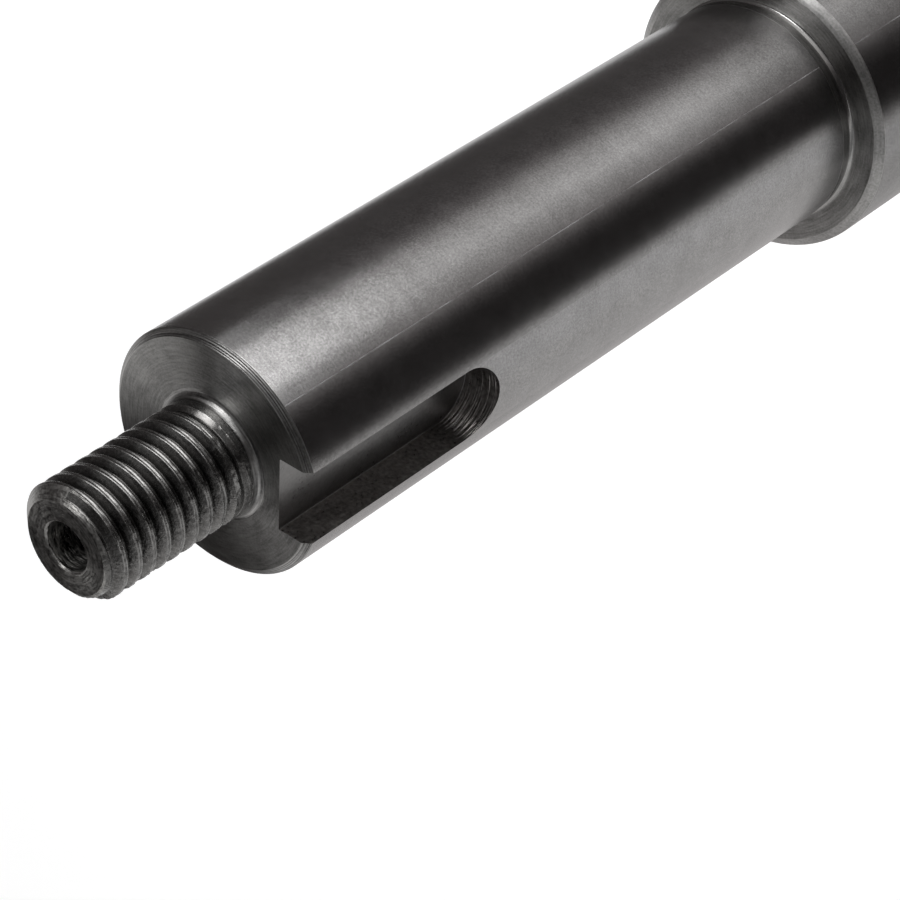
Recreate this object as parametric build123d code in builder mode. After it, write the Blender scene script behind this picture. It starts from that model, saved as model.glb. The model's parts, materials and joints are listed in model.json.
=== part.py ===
from build123d import *
import math
import os

# Drive end of a turned steel shaft, standing on the plain end of its thick body.
# One solid, turned from one bar: a thick body, a ground journal with a milled key seat that is
# open at the front, and a threaded stub with a drilled end. +Z runs along the axis from the
# plain end to the threaded tip, +X points out of the key seat, and the origin is the centre
# of the plain end. All sizes are in millimetres.

# thick body
body_diameter = 32.0
body_length = 60.0
base_chamfer = 1.0
shoulder_chamfer_width = 1.0     # across the radius
shoulder_chamfer_height = 0.65   # along the axis

# journal, with the grinding relief at its foot
journal_diameter = 25.0
journal_length = 83.0
journal_chamfer_width = 0.7
journal_chamfer_height = 0.6
relief_depth = 0.25
relief_radius = 0.6              # corner between relief and shoulder
relief_land = 0.45
relief_ramp = 0.7

# key seat, cut with an end mill of its own width
keyway_width = 8.0
keyway_depth = 4.2
keyway_straight = 21.6           # from the journal's front face to the end mill's last centre
keyway_floor_radius = 0.25

# threaded stub: a coarse right-hand thread, cut with a die
stub_diameter = 11.85            # over the crests
stub_length = 18.25
stub_root_radius = 0.8
plain_land = 0.175               # between the root radius and the first trace of thread
tip_chamfer_width = 1.2
tip_chamfer_height = 1.0
thread_pitch = 1.75
thread_angle = 60.0
crest_width = 0.5
root_width = 0.27
runout_turns = 1.7               # the die's taper, from nothing to full depth
full_depth_angle = 75.0          # where the groove reaches full depth, from +X towards +Y

# drilled end
bore_diameter = 5.0
bore_depth = 14.0
bore_mouth_chamfer = 0.2
drill_point_angle = 118.0

# how far a cutter reaches past the surface that it opens
cutter_clearance = 1.0
thread_clearance = 0.2           # less than that, so that neighbouring turns stay apart
overrun_turns = 1.3              # the die runs on past the tip, into stock that is faced off
stock_turns = 2.0
lift_turns = 0.1                 # at its other end it lifts clear of the stub

# radii and levels
body_r = body_diameter / 2
journal_r = journal_diameter / 2
relief_r = journal_r - relief_depth
stub_r = stub_diameter / 2
bore_r = bore_diameter / 2
front_z = body_length + journal_length
tip_z = front_z + stub_length
relief_top_z = body_length + relief_radius + relief_land + relief_ramp

# thread
flank_slope = math.tan(math.radians(thread_angle / 2))
thread_depth = (thread_pitch - crest_width - root_width) / (2 * flank_slope)
thread_root_r = stub_r - thread_depth
runout_height = runout_turns * thread_pitch
runout_z = front_z + stub_root_radius + plain_land
full_depth_z = runout_z + runout_height
groove_height = tip_z + overrun_turns * thread_pitch - full_depth_z
stock_z = tip_z + stock_turns * thread_pitch


def cut_groove(path):
    """Carry the section of one groove, drawn in a plane through the axis, along its root line."""
    section_height = thread_depth + thread_clearance
    half_root = root_width / 2
    half_mouth = half_root + section_height * flank_slope
    start = path @ 0
    outwards = Vector(start.X, start.Y, 0)
    sideways = Vector(0, 0, 1).cross(outwards)
    with BuildSketch(Plane(origin=start, x_dir=outwards, z_dir=sideways)) as section:
        with BuildLine():
            Polyline(
                (0, -half_root),
                (section_height, -half_mouth),
                (section_height, half_mouth),
                (0, half_root),
                close=True,
            )
        make_face()
    sweep(sections=section.sketch, path=path, is_frenet=True)


def turn_to_start(path):
    """The turn about the axis that brings the path's start to the full-depth angle."""
    start = path @ 0
    return (0, 0, full_depth_angle - math.degrees(math.atan2(start.Y, start.X)))


# the full-depth groove, from the end of the run-out up past the tip
with BuildPart() as groove_tool:
    with BuildLine(Plane.XY.offset(full_depth_z)) as groove_line:
        Helix(pitch=thread_pitch, height=groove_height, radius=thread_root_r)
    cut_groove(groove_line.line)

# the run-out: the same groove, from the same section down a widening cone to the surface
runout_cone = math.degrees(math.atan(thread_depth / runout_height))
pitch_on_cone = thread_pitch / math.cos(math.radians(runout_cone))
with BuildPart() as runout_tool:
    with BuildLine(Plane.XY.offset(full_depth_z)) as runout_line:
        Helix(
            pitch=pitch_on_cone,
            height=runout_height + lift_turns * thread_pitch,
            radius=thread_root_r,
            direction=(0, 0, -1),
            cone_angle=runout_cone,
        )
    cut_groove(runout_line.line)

with BuildPart() as shaft:
    # the turned blank: one half section spun about the axis
    with BuildSketch(Plane.XZ):
        with BuildLine():
            foot = Polyline(
                (0, 0),
                (body_r - base_chamfer, 0),
                (body_r, base_chamfer),
                (body_r, body_length - shoulder_chamfer_height),
                (body_r - shoulder_chamfer_width, body_length),
                (relief_r + relief_radius, body_length),
            )
            relief_corner = RadiusArc(foot @ 1, (relief_r, body_length + relief_radius), relief_radius)
            journal = Polyline(
                relief_corner @ 1,
                (relief_r, relief_top_z - relief_ramp),
                (journal_r, relief_top_z),
                (journal_r, front_z - journal_chamfer_height),
                (journal_r - journal_chamfer_width, front_z),
                (stub_r + stub_root_radius, front_z),
            )
            stub_corner = RadiusArc(journal @ 1, (stub_r, front_z + stub_root_radius), stub_root_radius)
            Polyline(
                stub_corner @ 1,
                (stub_r, stock_z),
                (0, stock_z),
                (0, 0),
            )
        make_face()
    revolve(axis=Axis.Z)

    # thread, then the tip faced to length and chamfered through it
    add(groove_tool.part, rotation=turn_to_start(groove_line.line), mode=Mode.SUBTRACT)
    with BuildSketch(Plane.XZ):
        with BuildLine():
            chamfer_fall = tip_chamfer_height * (1 + cutter_clearance / tip_chamfer_width)
            Polyline(
                (0, tip_z),
                (stub_r - tip_chamfer_width, tip_z),
                (stub_r + cutter_clearance, tip_z - chamfer_fall),
                (stub_r + cutter_clearance, stock_z + cutter_clearance),
                (0, stock_z + cutter_clearance),
                close=True,
            )
        make_face()
    revolve(axis=Axis.Z, mode=Mode.SUBTRACT)
    add(runout_tool.part, rotation=turn_to_start(runout_line.line), mode=Mode.SUBTRACT)

    # drilled end, with the drill's point and a broken edge at the mouth
    with BuildSketch(Plane.XZ):
        with BuildLine():
            drill_point = bore_r / math.tan(math.radians(drill_point_angle / 2))
            Polyline(
                (0, tip_z),
                (bore_r + bore_mouth_chamfer, tip_z),
                (bore_r, tip_z - bore_mouth_chamfer),
                (bore_r, tip_z - bore_depth),
                (0, tip_z - bore_depth - drill_point),
                close=True,
            )
        make_face()
    revolve(axis=Axis.Z, mode=Mode.SUBTRACT)

    # key seat: straight in from the front face, with the end mill's round end
    with BuildSketch(Plane.YZ.offset(journal_r - keyway_depth)):
        with Locations((0, front_z - keyway_straight)):
            Circle(keyway_width / 2)
            Rectangle(keyway_width, keyway_straight, align=(Align.CENTER, Align.MIN))
    extrude(amount=keyway_depth + cutter_clearance, mode=Mode.SUBTRACT)
    keyway_floor = shaft.faces().filter_by(Axis.X).sort_by(Axis.X)[-1]
    floor_sides = keyway_floor.edges().filter_by_position(
        Axis.Z, 0, front_z, inclusive=(True, False)
    )
    fillet(floor_sides, keyway_floor_radius)

shaft.part.label = "shaft"
os.makedirs("parts", exist_ok=True)
export_step(shaft.part, "parts/shaft.step")
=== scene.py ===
import json
import math

import bmesh
import bpy
from mathutils import Matrix, Vector, noise


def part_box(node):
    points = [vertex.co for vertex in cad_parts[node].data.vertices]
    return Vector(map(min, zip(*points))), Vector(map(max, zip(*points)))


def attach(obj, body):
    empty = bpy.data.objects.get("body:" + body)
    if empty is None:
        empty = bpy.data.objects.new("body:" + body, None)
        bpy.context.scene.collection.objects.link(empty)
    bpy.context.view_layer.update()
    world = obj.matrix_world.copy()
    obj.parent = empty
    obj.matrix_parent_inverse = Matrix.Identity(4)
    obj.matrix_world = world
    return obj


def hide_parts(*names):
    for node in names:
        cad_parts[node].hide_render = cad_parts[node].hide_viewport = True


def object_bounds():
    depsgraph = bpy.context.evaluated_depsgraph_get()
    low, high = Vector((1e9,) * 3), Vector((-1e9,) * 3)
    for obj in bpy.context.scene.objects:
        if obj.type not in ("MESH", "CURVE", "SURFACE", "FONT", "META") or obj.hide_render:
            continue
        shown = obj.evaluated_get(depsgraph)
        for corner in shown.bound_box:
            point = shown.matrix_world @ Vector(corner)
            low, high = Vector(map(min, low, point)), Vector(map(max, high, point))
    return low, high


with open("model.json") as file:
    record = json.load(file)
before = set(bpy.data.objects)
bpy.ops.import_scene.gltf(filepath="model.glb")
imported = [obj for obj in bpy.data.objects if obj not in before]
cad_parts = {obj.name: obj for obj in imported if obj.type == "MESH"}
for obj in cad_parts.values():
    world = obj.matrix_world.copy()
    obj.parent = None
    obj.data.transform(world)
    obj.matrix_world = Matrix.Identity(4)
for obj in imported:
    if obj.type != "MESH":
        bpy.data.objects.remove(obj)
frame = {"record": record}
cad_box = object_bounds()

# The room: a pale matt floor under a plain grey sky. A long lens looks down on the threaded end
# from the key seat's side. The floor shows a little light of its own, so that it stays clean.
lens_mm = 127.85
film_mm = 36.0
nearest_seen = 0.01
camera_place = (0.15891, 0.17800, 0.30699)
camera_turn = (math.radians(-35.590), math.radians(40.635), math.radians(3.354))
sky_grey = 0.42
floor_reach = 6.0
floor_white = (0.86, 0.86, 0.86, 1.0)
floor_roughness = 0.9
floor_glow = 0.39

scene = bpy.context.scene
scene.view_settings.view_transform = "Standard"

camera_data = bpy.data.cameras.new("camera")
camera_data.lens = lens_mm
camera_data.sensor_width = film_mm
camera_data.clip_start = nearest_seen
camera = bpy.data.objects.new("camera", camera_data)
camera.location = camera_place
camera.rotation_euler = camera_turn
scene.collection.objects.link(camera)
scene.camera = camera

sky = bpy.data.worlds.new("sky")
sky.use_nodes = True
sky.node_tree.nodes["Background"].inputs["Color"].default_value = (sky_grey, sky_grey, sky_grey, 1.0)
scene.world = sky

floor_mesh = bpy.data.meshes.new("floor")
shape = bmesh.new()
bmesh.ops.create_grid(shape, x_segments=1, y_segments=1, size=floor_reach)
shape.to_mesh(floor_mesh)
shape.free()
floor = bpy.data.objects.new("floor", floor_mesh)
scene.collection.objects.link(floor)


def add(tree, kind, inputs=(), **settings):
    """Add a shader node, set it, and feed its named or numbered inputs with values or other sockets."""
    made = tree.nodes.new(kind)
    for name, value in settings.items():
        setattr(made, name, value)
    for place, value in inputs:
        if isinstance(value, bpy.types.NodeSocket):
            tree.links.new(value, made.inputs[place])
        else:
            made.inputs[place].default_value = value
    return made


def math_node(tree, operation, *values):
    """One step of arithmetic between sockets and numbers."""
    return add(tree, "ShaderNodeMath", list(enumerate(values)), operation=operation).outputs[0]


floor_paint = bpy.data.materials.new("floor_paint")
floor_paint.use_nodes = True
tree = floor_paint.node_tree
rays = add(tree, "ShaderNodeLightPath").outputs
seen = math_node(tree, "MAXIMUM", rays["Is Camera Ray"], rays["Is Glossy Ray"])
seen = math_node(tree, "MAXIMUM", seen, rays["Is Transmission Ray"])
paint = tree.nodes["Principled BSDF"]
paint.inputs["Base Color"].default_value = floor_white
paint.inputs["Roughness"].default_value = floor_roughness
paint.inputs["Emission Color"].default_value = (1.0, 1.0, 1.0, 1.0)
tree.links.new(math_node(tree, "MULTIPLY", seen, floor_glow), paint.inputs["Emission Strength"])
floor_mesh.materials.append(floor_paint)


# Lamps and cards: an upright softbox on the key seat's left, a large one high above it and a weak
# one on the right. Graded grey cards stand close round the shaft, where only the metal's gloss
# sees them; a backdrop, a dark wall and a dark ceiling close the room behind and above it.
lamp_aim = 0.75                          # the lamps face this share of the shaft's height
foot_radius = 0.018                      # the cards' feet reach in under the shaft's edge to here
foot_height = 0.001
low_height = 0.0015
low_reach = 0.066
near_ring = 0.070
band_ring = 0.067
band_foot = 0.0025
band_top = 0.044
strip_top = 0.118
lens_top = 0.200
right_top = 0.120
backdrop_ring = 0.60
backdrop_top = 0.72
wall_ring = 0.62
ceiling_height = 1.40
card_steps = 48
card_warmth = 0.07                       # a dark card is a little warmer than a light one
card_green = 0.99
card_blue = 0.98


def softbox(name, azimuth, distance, height, size, watts):
    """An area lamp that stands at an azimuth round the shaft and faces its upper half."""
    lamp_data = bpy.data.lights.new(name, "AREA")
    lamp_data.shape = "RECTANGLE"
    lamp_data.size, lamp_data.size_y = size
    lamp_data.energy = watts
    lamp = bpy.data.objects.new(name, lamp_data)
    turn = math.radians(azimuth)
    lamp.location = (distance * math.cos(turn), distance * math.sin(turn), height)
    towards = Vector((0.0, 0.0, cad_box[1][2] * lamp_aim)) - lamp.location
    lamp.rotation_euler = towards.to_track_quat("-Z", "Y").to_euler()
    scene.collection.objects.link(lamp)


def card(name, section, greys):
    """A card folded through (radius, height) points and bent round the shaft.

    Its greys are (azimuth in degrees, grey) stops, and it reaches from the first to the last."""
    start, end = greys[0][0], greys[-1][0]
    reach = math.radians(end - start)
    card_mesh = bpy.data.meshes.new(name)
    shape = bmesh.new()
    corners = [shape.verts.new((radius, 0.0, height)) for radius, height in section]
    folds = [shape.edges.new(pair) for pair in zip(corners, corners[1:])]
    bmesh.ops.spin(shape, geom=corners + folds, cent=(0.0, 0.0, 0.0), axis=(0.0, 0.0, 1.0),
                   dvec=(0.0, 0.0, 0.0), angle=reach, steps=card_steps)
    shape.to_mesh(card_mesh)
    shape.free()
    card_paint = bpy.data.materials.new(name)
    card_paint.use_nodes = True
    tree = card_paint.node_tree
    place = add(tree, "ShaderNodeTexCoord").outputs["Object"]
    xyz = add(tree, "ShaderNodeSeparateXYZ", [(0, place)]).outputs
    turn = math_node(tree, "ARCTAN2", xyz["Y"], xyz["X"])
    ramp = add(tree, "ShaderNodeValToRGB", [(0, math_node(tree, "DIVIDE", turn, reach))])
    stops = ramp.color_ramp.elements
    for azimuth, _ in greys[1:-1]:
        stops.new((azimuth - start) / (end - start))
    for stop, (_, grey) in zip(stops, greys):
        warmth = card_warmth * (1.0 - min(grey, 1.0))
        stop.color = (grey, grey * (card_green - warmth), grey * (card_blue - warmth), 1.0)
    paint = tree.nodes["Principled BSDF"]
    paint.inputs["Base Color"].default_value = (0.0, 0.0, 0.0, 1.0)
    paint.inputs["Specular IOR Level"].default_value = 0.0
    paint.inputs["Emission Strength"].default_value = 1.0
    tree.links.new(ramp.outputs["Color"], paint.inputs["Emission Color"])
    card_mesh.materials.append(card_paint)
    piece = bpy.data.objects.new(name, card_mesh)
    piece.rotation_euler = (0.0, 0.0, math.radians(start))
    piece.visible_camera = False
    piece.visible_diffuse = False
    piece.visible_shadow = False
    scene.collection.objects.link(piece)


# Each softbox: its azimuth in degrees, distance, height, size and watts.
softbox("left_softbox", 84.0, 0.34, 0.13, (0.26, 0.12), 0.60)
softbox("right_softbox", -60.0, 0.60, 0.40, (0.50, 0.50), 0.65)
softbox("top_softbox", 108.0, 0.90, 0.78, (0.50, 0.44), 6.8)

near_foot = [(foot_radius, foot_height), (near_ring, foot_height)]
card("lens_card", [*near_foot, (near_ring, lens_top)],
     [(-7.0, 1.14), (-3.0, 0.92), (4.5, 0.08), (11.0, 0.045), (33.0, 0.045), (41.0, 0.12), (46.0, 0.28),
      (49.4, 0.40)])
card("light_strip", [*near_foot, (near_ring, strip_top)],
     [(49.4, 0.54), (56.0, 0.64), (66.0, 0.90), (77.0, 1.28), (88.0, 1.08), (99.0, 0.72), (110.0, 0.24),
      (122.0, 0.15)])
card("low_card", [(foot_radius, low_height), (low_reach, low_height)], [(49.4, 0.12), (122.0, 0.08)])
card("bright_band", [(band_ring, band_foot), (band_ring, band_top)],
     [(49.4, 0.60), (56.0, 0.72), (66.0, 1.08), (77.0, 1.52), (88.0, 1.26), (99.0, 0.78), (110.0, 0.26),
      (122.0, 0.15)])
card("far_card", [*near_foot, (near_ring, lens_top)], [(122.0, 0.15), (150.0, 0.125), (185.0, 0.125)])
card("right_card", [*near_foot, (near_ring, right_top)],
     [(-135.0, 0.80), (-112.0, 0.68), (-80.0, 0.78), (-50.0, 0.98), (-30.0, 1.08)])
card("backdrop", [(backdrop_ring, 0.0), (backdrop_ring, backdrop_top)],
     [(150.0, 0.12), (190.0, 0.18), (204.0, 1.30), (214.0, 1.25), (221.0, 0.04), (236.0, 0.04),
      (250.0, 0.10), (260.0, 1.20), (274.0, 1.30), (285.0, 0.90)])
card("dark_wall", [(wall_ring, 0.0), (wall_ring, ceiling_height), (0.0, ceiling_height)],
     [(150.0, 0.06), (290.0, 0.06)])
card("dark_ceiling", [(wall_ring, ceiling_height), (0.0, ceiling_height)], [(-70.0, 0.06), (150.0, 0.06)])


# Tool marks: every surface was left by one tool, whose marks run round the axis as fine close
# lines, a grain and some blotches. One group of nodes gives their shade and height to each finish.
cut_marks = bpy.data.node_groups.new("cut_marks", "ShaderNodeTree")
for name, standard in (("Radial Lines", 4000.0), ("Axial Lines", 4000.0), ("Turn Breaks", 3.0),
                       ("Grain Size", 0.0002), ("Blotch Size", 0.002), ("Line Shade", 0.5),
                       ("Grain Shade", 0.5), ("Blotch Shade", 0.5), ("Line Height", 0.0),
                       ("Grain Height", 0.0)):
    socket = cut_marks.interface.new_socket(name, in_out="INPUT", socket_type="NodeSocketFloat")
    socket.default_value = standard
for name in ("Shade", "Height", "Radius", "Axis Height", "Azimuth"):
    cut_marks.interface.new_socket(name, in_out="OUTPUT", socket_type="NodeSocketFloat")
given = add(cut_marks, "NodeGroupInput").outputs
place = add(cut_marks, "ShaderNodeTexCoord").outputs["Object"]
xyz = add(cut_marks, "ShaderNodeSeparateXYZ", [(0, place)]).outputs
squares = [math_node(cut_marks, "POWER", xyz[axis], 2.0) for axis in "XY"]
radius = math_node(cut_marks, "POWER", math_node(cut_marks, "ADD", *squares), 0.5)
azimuth = math_node(cut_marks, "ARCTAN2", xyz["Y"], xyz["X"])
round_x = math_node(cut_marks, "MULTIPLY", math_node(cut_marks, "COSINE", azimuth), given["Turn Breaks"])
round_y = math_node(cut_marks, "MULTIPLY", math_node(cut_marks, "SINE", azimuth), given["Turn Breaks"])
across = math_node(cut_marks, "MULTIPLY", radius, given["Radial Lines"])
along = math_node(cut_marks, "MULTIPLY", xyz["Z"], given["Axial Lines"])
lay = add(cut_marks, "ShaderNodeCombineXYZ", [(0, across), (1, round_x), (2, round_y)])
lines = add(cut_marks, "ShaderNodeTexNoise", [
    ("Vector", lay.outputs[0]), ("W", along), ("Scale", 1.0), ("Detail", 2.0), ("Roughness", 0.6)],
    noise_dimensions="4D")
grain = add(cut_marks, "ShaderNodeTexNoise", [
    ("Vector", place), ("Scale", math_node(cut_marks, "DIVIDE", 1.0, given["Grain Size"])),
    ("Detail", 1.0)])
blotch = add(cut_marks, "ShaderNodeTexNoise", [
    ("Vector", place), ("Scale", math_node(cut_marks, "DIVIDE", 1.0, given["Blotch Size"])),
    ("Detail", 3.0)])
shade = 0.5
height = 0.0
for pattern, depth in ((lines, "Line"), (grain, "Grain"), (blotch, "Blotch")):
    swing = math_node(cut_marks, "SUBTRACT", pattern.outputs[0], 0.5)
    shade = math_node(cut_marks, "MULTIPLY_ADD", swing, given[depth + " Shade"], shade)
    if depth != "Blotch":
        height = math_node(cut_marks, "MULTIPLY_ADD", swing, given[depth + " Height"], height)
add(cut_marks, "NodeGroupOutput", [("Shade", shade), ("Height", height), ("Radius", radius),
                                   ("Axis Height", xyz["Z"]), ("Azimuth", azimuth)])

quarter_turn = 0.25                      # turns a finish's stretched gloss across its marks
finishes = []


def fade(tree, value, start, end, first, last):
    """A strength that runs from first to last while a value runs from start to end."""
    run = add(tree, "ShaderNodeMapRange", [(0, value), (1, start), (2, end), (3, first), (4, last)])
    return run.outputs[0]


def overlay(tree, mask, under, colour):
    """Lay a plain colour over the one under it, as strongly as a mask says."""
    over = add(tree, "ShaderNodeMix", [(0, mask), (6, under), (7, colour)], data_type="RGBA")
    return over.outputs[2]


def finish(name, dark, light, gloss, anisotropy, marks):
    """A steel finish between a dark and a light grey, rough where it is light, with a tool's marks.

    It joins the list of finishes, and the shaft's faces carry its place in that list."""
    skin = bpy.data.materials.new(name)
    skin.use_nodes = True
    tree = skin.node_tree
    group = add(tree, "ShaderNodeGroup", node_tree=cut_marks)
    for mark, value in marks.items():
        group.inputs[mark].default_value = value
    tone = add(tree, "ShaderNodeMix", [(0, group.outputs["Shade"]), (6, (*dark, 1.0)), (7, (*light, 1.0))],
               data_type="RGBA").outputs[2]
    metal = tree.nodes["Principled BSDF"]
    metal.inputs["Metallic"].default_value = 1.0
    metal.inputs["Anisotropic"].default_value = anisotropy
    metal.inputs["Anisotropic Rotation"].default_value = quarter_turn
    tree.links.new(tone, metal.inputs["Base Color"])
    tree.links.new(fade(tree, group.outputs["Shade"], 0.0, 1.0, *gloss), metal.inputs["Roughness"])
    relief = add(tree, "ShaderNodeBump", [("Height", group.outputs["Height"]), ("Distance", 1.0)])
    tree.links.new(relief.outputs[0], metal.inputs["Normal"])
    round_axis = add(tree, "ShaderNodeTangent", direction_type="RADIAL", axis="Z")
    tree.links.new(round_axis.outputs[0], metal.inputs["Tangent"])
    finishes.append(skin)
    return skin, group.outputs, tone


# The turned blank: a thick body, a square shoulder and a ground journal, turned from one bar of
# steel. Its half section is drawn once, from the base's centre to the stub's root, and spun round.
sizes = {mount["name"]: mount for mount in frame["record"]["mounts"]}
journal_radius = sizes["journal"]["dims"]["r_mm"] / 1000
stub_radius = sizes["thread"]["dims"]["r_mm"] / 1000
bore_radius = sizes["end_bore"]["dims"]["r_mm"] / 1000
shoulder_z = sizes["shoulder"]["pos_m"][2]
front_z = sizes["front_face"]["pos_m"][2]
high_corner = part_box("shaft")[1]
tip_z = high_corner.z
body_radius = high_corner.x
base_chamfer = 0.0010
shoulder_chamfer = (0.0010, 0.00065)     # across the radius, along the axis
journal_chamfer = (0.0007, 0.0006)
relief_depth = 0.00025
relief_width = 0.00175
relief_corner = 0.0006
relief_ramp = 0.0007
relief_radius = journal_radius - relief_depth
relief_top_z = shoulder_z + relief_width
stub_root_radius = 0.0008
stub_fillet_share = 0.8                  # this share of the root's fillet is cut like the chamfer
broken_edge = 0.00006                    # the touch of a file on each sharp corner
stub_step = 0.00004                      # the short upright step above the root's fillet
stub_seam_z = front_z + stub_root_radius + stub_step
chamfer_ridges = 4                       # the tool's own ridges on the front chamfer
ridge_depth = 0.000028
turning_steps = 360
corner_steps = 8
edge_steps = 2
weld = 1e-7                              # points closer than this are one point

# The ground sides: even and silky, a very fine grain with soft blotches, and a straight thin
# painted highlight along the shaft: a strip of reflected light painted into the colour.
highlight_line_azimuth = math.radians(49.1)
highlight_line_half = math.radians(0.20)
painted_highlight_white = (0.54, 0.54, 0.55, 1.0)
highlight_line_breaks = 150.0                   # per metre along the shaft
highlight_line_patches = (0.40, 0.66)           # the noise where the line is faintest and where it is full
highlight_line_faint = 0.10
highlight_line_dull = 0.35
body_painted_shade = 0.78                        # the thick body's colour is darkened: a painted shade for its darker reflection
shade_margin = 0.001
ground, marks, tone = finish(
    "ground_steel", (0.165, 0.161, 0.160), (0.310, 0.306, 0.306), (0.224, 0.267), 0.75,
    {"Axial Lines": 5200.0, "Turn Breaks": 2.0, "Grain Size": 0.00020, "Blotch Size": 0.0022,
     "Line Shade": 0.35, "Grain Shade": 1.35, "Blotch Shade": 0.65, "Line Height": 0.0000012,
     "Grain Height": 0.0000008})
tree = ground.node_tree
# A painted highlight: a thin straight line of reflected light along the shaft, painted into the colour and
# made a little rougher.
off_highlight_line = math_node(tree, "ABSOLUTE", math_node(tree, "SUBTRACT", marks["Azimuth"], highlight_line_azimuth))
painted_highlight_mask = math_node(tree, "LESS_THAN", off_highlight_line, highlight_line_half)
patchy = add(tree, "ShaderNodeTexNoise", [
    ("W", math_node(tree, "MULTIPLY", marks["Axis Height"], highlight_line_breaks)), ("Scale", 1.0),
    ("Detail", 5.0), ("Roughness", 0.7)], noise_dimensions="1D")
painted_highlight_mask = math_node(tree, "MULTIPLY", painted_highlight_mask,
                    fade(tree, patchy.outputs[0], *highlight_line_patches, highlight_line_faint, 1.0))
# Painted shade: the thick body's colour, and the painted highlight on it, are darkened by this share.
painted_body_darkening = fade(tree, marks["Radius"], journal_radius + shade_margin, body_radius - shade_margin,
              1.0, body_painted_shade)
lined = overlay(tree, painted_highlight_mask, tone, painted_highlight_white)
shown = add(tree, "ShaderNodeVectorMath", [(0, lined), ("Scale", painted_body_darkening)], operation="SCALE")
metal = tree.nodes["Principled BSDF"]
tree.links.new(shown.outputs[0], metal.inputs["Base Color"])
dull = math_node(tree, "ADD", metal.inputs["Roughness"].links[0].from_socket,
                 math_node(tree, "MULTIPLY", painted_highlight_mask, highlight_line_dull))
tree.links.new(dull, metal.inputs["Roughness"])

# The faces as the lathe left them: the flat faces with the tool's open rings and streaks, the
# front chamfer in dark and light lines, the filed shoulder edge, and the bright grinding relief.
turned = finish(
    "turned_steel", (0.125, 0.124, 0.121), (0.390, 0.386, 0.379), (0.28, 0.35), 0.88,
    {"Radial Lines": 5000.0, "Axial Lines": 5000.0, "Turn Breaks": 5.0, "Grain Size": 0.00024,
     "Blotch Size": 0.0024, "Line Shade": 1.2, "Grain Shade": 0.6, "Blotch Shade": 0.7,
     "Line Height": 0.000012, "Grain Height": 0.000004})[0]
chamfered = finish(
    "chamfered_steel", (0.041, 0.040, 0.039), (0.272, 0.268, 0.264), (0.27, 0.38), 0.30,
    {"Radial Lines": 4400.0, "Axial Lines": 4400.0, "Turn Breaks": 1.3, "Grain Size": 0.00028,
     "Blotch Size": 0.0018, "Line Shade": 2.4, "Grain Shade": 0.5, "Blotch Shade": 0.25,
     "Line Height": 0.000060, "Grain Height": 0.000005})[0]
filed = finish(
    "filed_steel", (0.14, 0.139, 0.137), (0.38, 0.376, 0.37), (0.32, 0.40), 0.20,
    {"Radial Lines": 4200.0, "Axial Lines": 4200.0, "Turn Breaks": 4.0, "Grain Size": 0.00026,
     "Blotch Size": 0.0030, "Line Shade": 0.8, "Grain Shade": 0.9, "Blotch Shade": 0.7,
     "Line Height": 0.000020, "Grain Height": 0.000006})[0]
necked = finish(
    "necked_steel", (0.12, 0.118, 0.116), (0.40, 0.396, 0.39), (0.15, 0.20), 0.10,
    {"Radial Lines": 4000.0, "Axial Lines": 4000.0, "Turn Breaks": 1.0, "Grain Size": 0.00030,
     "Blotch Size": 0.0030, "Line Shade": 0.8, "Grain Shade": 0.3, "Blotch Shade": 0.5,
     "Line Height": 0.000020, "Grain Height": 0.000001})[0]

steel = bmesh.new()


def spin_profile(corners, rounds, steps):
    """Draw a half section as (radius, z) corners, round the numbered ones, and spin it about the axis."""
    points = [steel.verts.new((radius, 0.0, z)) for radius, z in corners]
    for pair in zip(points, points[1:]):
        steel.edges.new(pair)
    for number, radius in rounds.items():
        bmesh.ops.bevel(steel, geom=[points[number]], offset=radius,
                        segments=corner_steps if radius > broken_edge else edge_steps,
                        profile=0.5, affect="VERTICES", material=-1)
    section = [edge for edge in steel.edges if edge.is_wire]
    section += [point for point in steel.verts if point.is_wire]
    bmesh.ops.spin(steel, geom=section, cent=(0.0, 0.0, 0.0), axis=(0.0, 0.0, 1.0), dvec=(0.0, 0.0, 0.0),
                   angle=math.tau, steps=steps, use_merge=True)
    bmesh.ops.remove_doubles(steel, verts=steel.verts, dist=weld)


chamfer_slope = math.atan2(*journal_chamfer)
ridges = []
for number in range(1, 2 * chamfer_ridges):
    share = number / (2 * chamfer_ridges)
    cut = ridge_depth * (number % 2)
    ridges.append((journal_radius - journal_chamfer[0] * share - cut * math.cos(chamfer_slope),
                   front_z - journal_chamfer[1] * (1.0 - share) - cut * math.sin(chamfer_slope)))

spin_profile(
    [
        (0.0, 0.0),
        (body_radius - base_chamfer, 0.0),
        (body_radius, base_chamfer),
        (body_radius, shoulder_z - shoulder_chamfer[1]),
        (body_radius - shoulder_chamfer[0], shoulder_z),
        (relief_radius, shoulder_z),
        (relief_radius, relief_top_z - relief_ramp),
        (journal_radius, relief_top_z),
        (journal_radius, front_z - journal_chamfer[1]),
        *ridges,
        (journal_radius - journal_chamfer[0], front_z),
        (stub_radius, front_z),
        (stub_radius, stub_seam_z),
    ],
    {1: broken_edge, 2: broken_edge, 3: broken_edge, 4: broken_edge, 5: relief_corner, 7: broken_edge,
     8: broken_edge, 9 + len(ridges): broken_edge, 10 + len(ridges): stub_root_radius},
    turning_steps,
)

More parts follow.
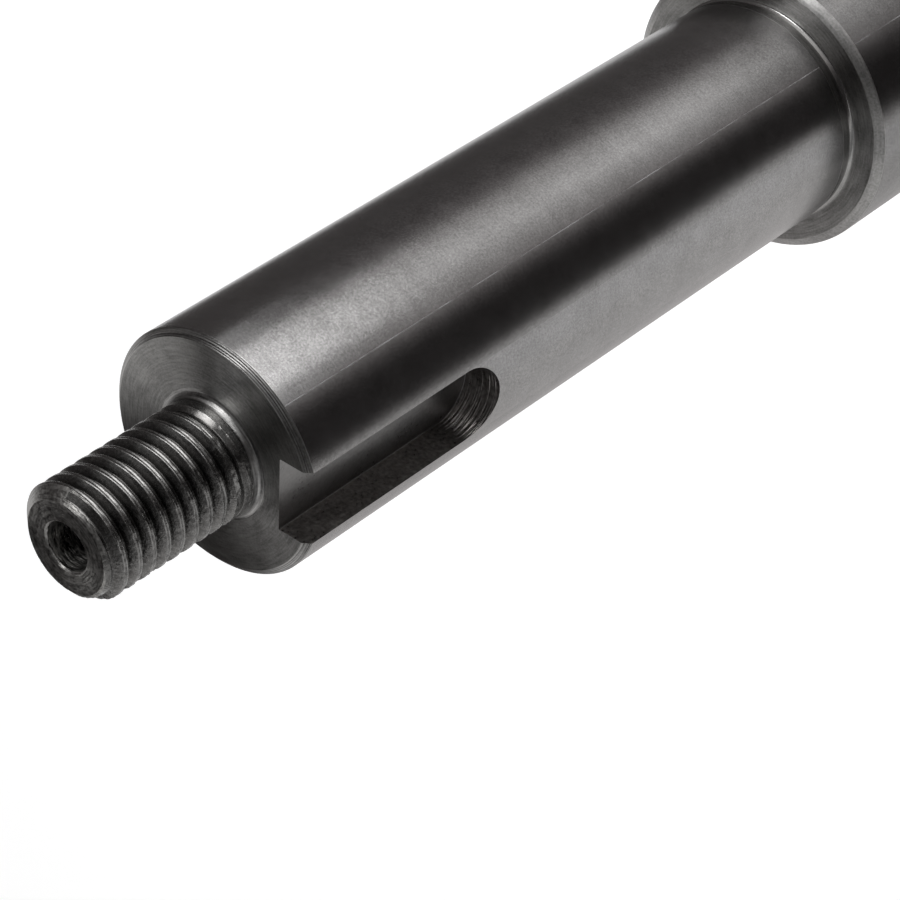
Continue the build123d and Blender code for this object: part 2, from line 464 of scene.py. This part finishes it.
for face in steel.faces:
    middle = face.calc_center_median()
    radius = middle.xy.length
    upright = abs(face.normal.z) < 0.05
    sloped = 0.4 < face.normal.z < 0.9
    if upright and radius > journal_radius - broken_edge:
        skin = ground
    elif sloped and radius > body_radius - shoulder_chamfer[0]:
        skin = filed
    elif middle.z > front_z - journal_chamfer[1] and radius > journal_radius - journal_chamfer[0]:
        skin = chamfered
    elif middle.z > front_z - broken_edge and radius < stub_radius + stub_fillet_share * stub_root_radius:
        skin = chamfered
    elif shoulder_z + broken_edge / 2 < middle.z < relief_top_z:
        skin = necked
    else:
        skin = turned
    face.material_index = finishes.index(skin)


# The threaded stub: a coarse right-hand thread, cut with a die. One turn's section is wound round
# the axis like a screw, let run out of the metal at its foot, and cut off at both ends.
pitch = 0.00175
thread_depth = 0.000849
crest_half = 0.00025
root_half = 0.000135
crest_seam = 0.00004                     # the die folds the crest up at both edges
crest_round = 0.00005
root_round = 0.00008
full_depth_angle = math.radians(75.0)
full_depth_height = 0.00395
full_depth_z = front_z + full_depth_height
runout_turns = 1.7
first_turn = -4
last_turn = 10
turn_steps = 192
round_steps = 3
torn_depth = 0.00016                     # the die tore the crests a little on one side
torn_middle = math.radians(-50.0)
torn_grain = 1900.0
seam_gap = 0.00003                       # the thin rings that close the thread at its foot and its tip
thread_foot_z = stub_seam_z + seam_gap
tip_chamfer = (0.0012, 0.0010)
turn_weld = 1e-6
thread_weld = 2e-6

groove_painted_shade = 0.78                      # how far the grooves are darkened: painted shade in the thread's hollows
groove_shade_colour = (0.020, 0.019, 0.018, 1.0)
groove_shade_depths = (0.75, 0.05)               # as shares of the thread's depth: full painted shade below, none above
groove_shade_tip_fade = (0.0012, 0.0005)             # below the tip, where the painted groove shade is lighter in the first groove
groove_shade_tip_left = 0.3
crest_rubbed = 0.24                      # how bright the crests' edges are rubbed
rubbed_white = (0.42, 0.418, 0.41, 1.0)
rubbed_depths = (0.045, 0.010)
scab_grey = (0.13, 0.128, 0.125, 1.0)    # scabs of torn metal, on the torn side only
scab_grain = 3000.0
scab_height = 0.000060
scab_cover = 0.75
scab_patches = (0.48, 0.66)
scab_azimuths = (math.radians(60.0), math.radians(5.0))
threaded, marks, tone = finish(
    "thread_steel", (0.040, 0.039, 0.038), (0.180, 0.176, 0.172), (0.20, 0.32), 0.10,
    {"Radial Lines": 5200.0, "Axial Lines": 5200.0, "Turn Breaks": 9.0, "Grain Size": 0.00024,
     "Blotch Size": 0.0014, "Line Shade": 0.8, "Grain Shade": 0.8, "Blotch Shade": 0.4,
     "Line Height": 0.000008, "Grain Height": 0.000004})
tree = threaded.node_tree
# Painted shade: the grooves darken towards their roots, less so in the first groove below the tip.
groove_shade_mask = fade(tree, marks["Radius"], *(stub_radius - share * thread_depth for share in groove_shade_depths),
            groove_painted_shade, 0.0)
groove_shade_near_tip = fade(tree, marks["Axis Height"], *(tip_z - below for below in groove_shade_tip_fade), 1.0, groove_shade_tip_left)
tone = overlay(tree, math_node(tree, "MULTIPLY", groove_shade_mask, groove_shade_near_tip), tone, groove_shade_colour)
rubbed = fade(tree, marks["Radius"], *(stub_radius - share * thread_depth for share in rubbed_depths),
              0.0, crest_rubbed)
tone = overlay(tree, rubbed, tone, rubbed_white)
scabs = add(tree, "ShaderNodeTexNoise", [
    (0, add(tree, "ShaderNodeTexCoord").outputs["Object"]), ("Scale", scab_grain), ("Detail", 2.0),
    ("Roughness", 0.7)]).outputs[0]
torn_side = fade(tree, marks["Azimuth"], *scab_azimuths, 0.0, 1.0)
scabbed = math_node(tree, "MULTIPLY", torn_side, fade(tree, scabs, *scab_patches, 0.0, scab_cover))
metal = tree.nodes["Principled BSDF"]
tree.links.new(overlay(tree, scabbed, tone, scab_grey), metal.inputs["Base Color"])
raised = math_node(tree, "MULTIPLY", math_node(tree, "MULTIPLY", scabs, torn_side), scab_height)
relief = metal.inputs["Normal"].links[0].from_node
tree.links.new(math_node(tree, "ADD", marks["Height"], raised), relief.inputs["Height"])
faced = finish(
    "faced_steel", (0.050, 0.048, 0.046), (0.28, 0.275, 0.266), (0.28, 0.46), 0.50,
    {"Radial Lines": 4600.0, "Axial Lines": 4600.0, "Turn Breaks": 3.5, "Grain Size": 0.00030,
     "Blotch Size": 0.0014, "Line Shade": 1.5, "Grain Shade": 1.2, "Blotch Shade": 0.7,
     "Line Height": 0.000060, "Grain Height": 0.000016})[0]


def tip_chamfer_radius(z):
    """The radius at which the tip's chamfer stands at a height."""
    return stub_radius - tip_chamfer[0] + (tip_z - z) * tip_chamfer[0] / tip_chamfer[1]


winding = bmesh.new()
half_pitch = pitch / 2
crest_edge = half_pitch - crest_half
section = [(crest_seam, -half_pitch), (0.0, -crest_edge - crest_half * 0.5), (0.0, -crest_edge),
           (thread_depth, -root_half), (thread_depth, root_half),
           (0.0, crest_edge), (0.0, crest_edge + crest_half * 0.5), (crest_seam, half_pitch)]
start_z = full_depth_z + first_turn * pitch
points = [winding.verts.new((stub_radius - depth, 0.0, start_z + along)) for depth, along in section]
for pair in zip(points, points[1:]):
    winding.edges.new(pair)
for number, radius in ((1, crest_round), (2, crest_round), (3, root_round), (4, root_round),
                       (5, crest_round), (6, crest_round)):
    bmesh.ops.bevel(winding, geom=[points[number]], offset=radius, segments=round_steps, profile=0.5,
                    affect="VERTICES", material=-1)
bmesh.ops.rotate(winding, verts=winding.verts, cent=(0.0, 0.0, 0.0),
                 matrix=Matrix.Rotation(full_depth_angle, 3, "Z"))
bmesh.ops.spin(winding, geom=winding.verts[:] + winding.edges[:], cent=(0.0, 0.0, 0.0), axis=(0.0, 0.0, 1.0),
               dvec=(0.0, 0.0, pitch / turn_steps), angle=math.tau, steps=turn_steps)
one_turn = winding.verts[:] + winding.edges[:] + winding.faces[:]
for turn in range(1, last_turn - first_turn):
    copy = bmesh.ops.duplicate(winding, geom=one_turn)["geom"]
    bmesh.ops.translate(winding, verts=[item for item in copy if isinstance(item, bmesh.types.BMVert)],
                        vec=(0.0, 0.0, turn * pitch))
bmesh.ops.remove_doubles(winding, verts=winding.verts, dist=turn_weld)
for point in winding.verts:
    angle = math.atan2(point.co.y, point.co.x)
    part_turn = (angle - full_depth_angle) / math.tau
    turn = round((point.co.z - full_depth_z) / pitch - part_turn) + part_turn
    radius = point.co.xy.length
    lift = thread_depth * min(max(-turn / runout_turns, 0.0), 1.0)
    torn = torn_depth * (0.5 + 0.5 * math.cos(angle - torn_middle))
    ragged = torn * max(noise.noise(point.co * torn_grain), 0.0) * (radius > stub_radius - thread_depth / 2)
    new_radius = min(radius + lift, stub_radius, tip_chamfer_radius(point.co.z)) - ragged
    point.co.xy *= new_radius / radius
for level, normal in ((thread_foot_z, -1.0), (tip_z, 1.0)):
    everything = winding.verts[:] + winding.edges[:] + winding.faces[:]
    bmesh.ops.bisect_plane(winding, geom=everything, dist=weld, plane_co=(0.0, 0.0, level),
                           plane_no=(0.0, 0.0, normal), clear_outer=True)
bmesh.ops.remove_doubles(winding, verts=winding.verts, dist=thread_weld)
for face in winding.faces:
    middle = face.calc_center_median()
    on_chamfer = middle.xy.length > tip_chamfer_radius(middle.z) - crest_round / 2
    face.material_index = finishes.index(faced if on_chamfer else threaded)
wound = bpy.data.meshes.new("wound_thread")
winding.to_mesh(wound)
winding.free()
steel.from_mesh(wound)
foot_rims = [edge for edge in steel.edges if edge.is_boundary and edge.verts[0].co.z < full_depth_z]
bmesh.ops.bridge_loops(steel, edges=foot_rims)


# The drilled end: a flat ring, faced to length, round a drilled hole. The hole has a drill point at
# its bottom, and the edge at its mouth is broken.
bore_depth = 0.014
bore_mouth = 0.0002
bore_wall_share = 0.2                    # this share of the mouth's bevel looks like the bore's wall
drill_point_angle = math.radians(118.0)
drill_point = bore_radius / math.tan(drill_point_angle / 2)
tip_flat_radius = stub_radius - tip_chamfer[0] - seam_gap

drilled = finish(
    "drilled_steel", (0.012, 0.011, 0.011), (0.42, 0.41, 0.395), (0.26, 0.42), 0.10,
    {"Radial Lines": 3000.0, "Axial Lines": 3000.0, "Turn Breaks": 2.0, "Grain Size": 0.00030,
     "Blotch Size": 0.0016, "Line Shade": 2.2, "Grain Shade": 0.8, "Blotch Shade": 1.4,
     "Line Height": 0.000110, "Grain Height": 0.000020})[0]
turned_faces = set(steel.faces)

spin_profile(
    [
        (tip_flat_radius, tip_z),
        (bore_radius + bore_mouth, tip_z),
        (bore_radius, tip_z - bore_mouth),
        (bore_radius, tip_z - bore_depth),
        (0.0, tip_z - bore_depth - drill_point),
    ],
    {1: broken_edge, 2: broken_edge},
    turn_steps,
)
tip_rims = [edge for edge in steel.edges if edge.is_boundary]
for face in set(steel.faces) - turned_faces:
    in_bore = face.calc_center_median().xy.length < bore_radius + bore_mouth * bore_wall_share
    face.material_index = finishes.index(drilled if in_bore else faced)
bmesh.ops.bridge_loops(steel, edges=tip_rims)
bmesh.ops.recalc_face_normals(steel, faces=steel.faces)


# The key seat: milled straight in from the front face with an end mill of its own width, which
# leaves a half-round end. The mill's path is a cutter, taken out of the turned piece.
keyway_half = 0.0040
keyway_depth = 0.0042
keyway_straight = 0.0216                 # from the front face to the middle of the round end
keyway_floor_x = journal_radius - keyway_depth
keyway_end_z = front_z - keyway_straight
keyway_floor_round = 0.00009
floor_round_steps = 4
floor_lean = 0.35                        # faces turned towards the floor's side this far are floor
cutter_reach = 0.0010
mill_steps = 64

seat_floor = finish(
    "milled_floor_steel", (0.105, 0.103, 0.102), (0.205, 0.201, 0.199), (0.25, 0.33), 0.0,
    {"Radial Lines": 0.0, "Axial Lines": 600.0, "Turn Breaks": 8.0, "Grain Size": 0.00030,
     "Blotch Size": 0.0030, "Line Shade": 0.3, "Grain Shade": 0.7, "Blotch Shade": 0.5, "Line Height": 0.0,
     "Grain Height": 0.0000012})[0]
seat_wall, marks, _ = finish(
    "milled_wall_steel", (0.160, 0.150, 0.145), (0.42, 0.400, 0.390), (0.24, 0.42), 0.0,
    {"Radial Lines": 0.0, "Axial Lines": 300.0, "Turn Breaks": 8.0, "Grain Size": 0.00040,
     "Blotch Size": 0.0016, "Line Shade": 0.0, "Grain Shade": 1.4, "Blotch Shade": 0.6, "Line Height": 0.0,
     "Grain Height": 0.000045})
mill_lines = 5200.0                      # the mill's own rings on the half-round end, across its depth
mill_breaks = 160.0
mill_line_height = 0.000130
mill_grain_left = 0.15                   # the end's rings leave this much of the walls' grain
end_blend = 0.0004
end_fade = (keyway_end_z + end_blend, keyway_end_z - end_blend)
tree = seat_wall.node_tree
ringed = add(tree, "ShaderNodeMapping", [(0, add(tree, "ShaderNodeTexCoord").outputs["Object"]),
                                         ("Scale", (mill_lines, mill_breaks, mill_breaks))])
rings = add(tree, "ShaderNodeTexNoise", [("Vector", ringed.outputs[0]), ("Scale", 1.0), ("Detail", 2.0)])
swing = math_node(tree, "SUBTRACT", rings.outputs[0], 0.5)
ring_height = fade(tree, marks["Axis Height"], *end_fade, 0.0, mill_line_height)
grain_left = fade(tree, marks["Axis Height"], *end_fade, 1.0, mill_grain_left)
grain_height = math_node(tree, "MULTIPLY", marks["Height"], grain_left)
metal = tree.nodes["Principled BSDF"]
relief = metal.inputs["Normal"].links[0].from_node
tree.links.new(math_node(tree, "MULTIPLY_ADD", swing, ring_height, grain_height), relief.inputs["Height"])

mill = bmesh.new()
start = mill.verts.new((keyway_floor_x, -keyway_half, keyway_end_z))
bmesh.ops.spin(mill, geom=[start], cent=(0.0, 0.0, keyway_end_z), axis=(1.0, 0.0, 0.0),
               dvec=(0.0, 0.0, 0.0), angle=math.pi, steps=mill_steps)
rim_ends = [point for point in mill.verts if len(point.link_edges) == 1]
tops = [mill.verts.new((keyway_floor_x, end.co.y, front_z + cutter_reach)) for end in rim_ends]
for pair in zip(rim_ends, tops):
    mill.edges.new(pair)
mill.edges.new(tops)
floor_face = bmesh.ops.edgeloop_fill(mill, edges=mill.edges)["faces"]
side = bmesh.ops.extrude_face_region(mill, geom=floor_face, use_keep_orig=True)["geom"]
bmesh.ops.translate(mill, verts=[item for item in side if isinstance(item, bmesh.types.BMVert)],
                    vec=(journal_radius + cutter_reach - keyway_floor_x, 0.0, 0.0))
floor_edges = [edge for edge in mill.edges
               if all(abs(point.co.x - keyway_floor_x) < weld for point in edge.verts)
               and min(point.co.z for point in edge.verts) < front_z]
bmesh.ops.bevel(mill, geom=floor_edges, offset=keyway_floor_round, segments=floor_round_steps, profile=0.5,
                affect="EDGES", material=-1)
bmesh.ops.recalc_face_normals(mill, faces=mill.faces)
for face in mill.faces:
    face.material_index = finishes.index(seat_floor if abs(face.normal.x) > floor_lean else seat_wall)
mill_mesh = bpy.data.meshes.new("mill")
mill.to_mesh(mill_mesh)
mill.free()
cutter = bpy.data.objects.new("mill", mill_mesh)
scene.collection.objects.link(cutter)


# The finished shaft: one piece of steel, the turned blank with its thread and its bore, less the
# key seat. It stands on its plain end, and its corners of more than a slight angle stay crisp.
crisp_angle = math.radians(24.0)

turned_mesh = bpy.data.meshes.new("turned_shaft")
steel.to_mesh(turned_mesh)
steel.free()
for skin in finishes:
    turned_mesh.materials.append(skin)
    mill_mesh.materials.append(skin)
finished = bpy.data.objects.new("turned_shaft", turned_mesh)
scene.collection.objects.link(finished)
keyway_cut = finished.modifiers.new("key_seat", "BOOLEAN")
keyway_cut.operation = "DIFFERENCE"
keyway_cut.solver = "EXACT"
keyway_cut.object = cutter
milled = finished.evaluated_get(bpy.context.evaluated_depsgraph_get())
finished_mesh = bpy.data.meshes.new_from_object(milled)
finished.modifiers.clear()
finished.data = finished_mesh
bpy.data.objects.remove(cutter)

finished_mesh.shade_smooth()
finished_mesh.set_sharp_from_angle(angle=crisp_angle)

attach(finished, "root")
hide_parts("shaft")
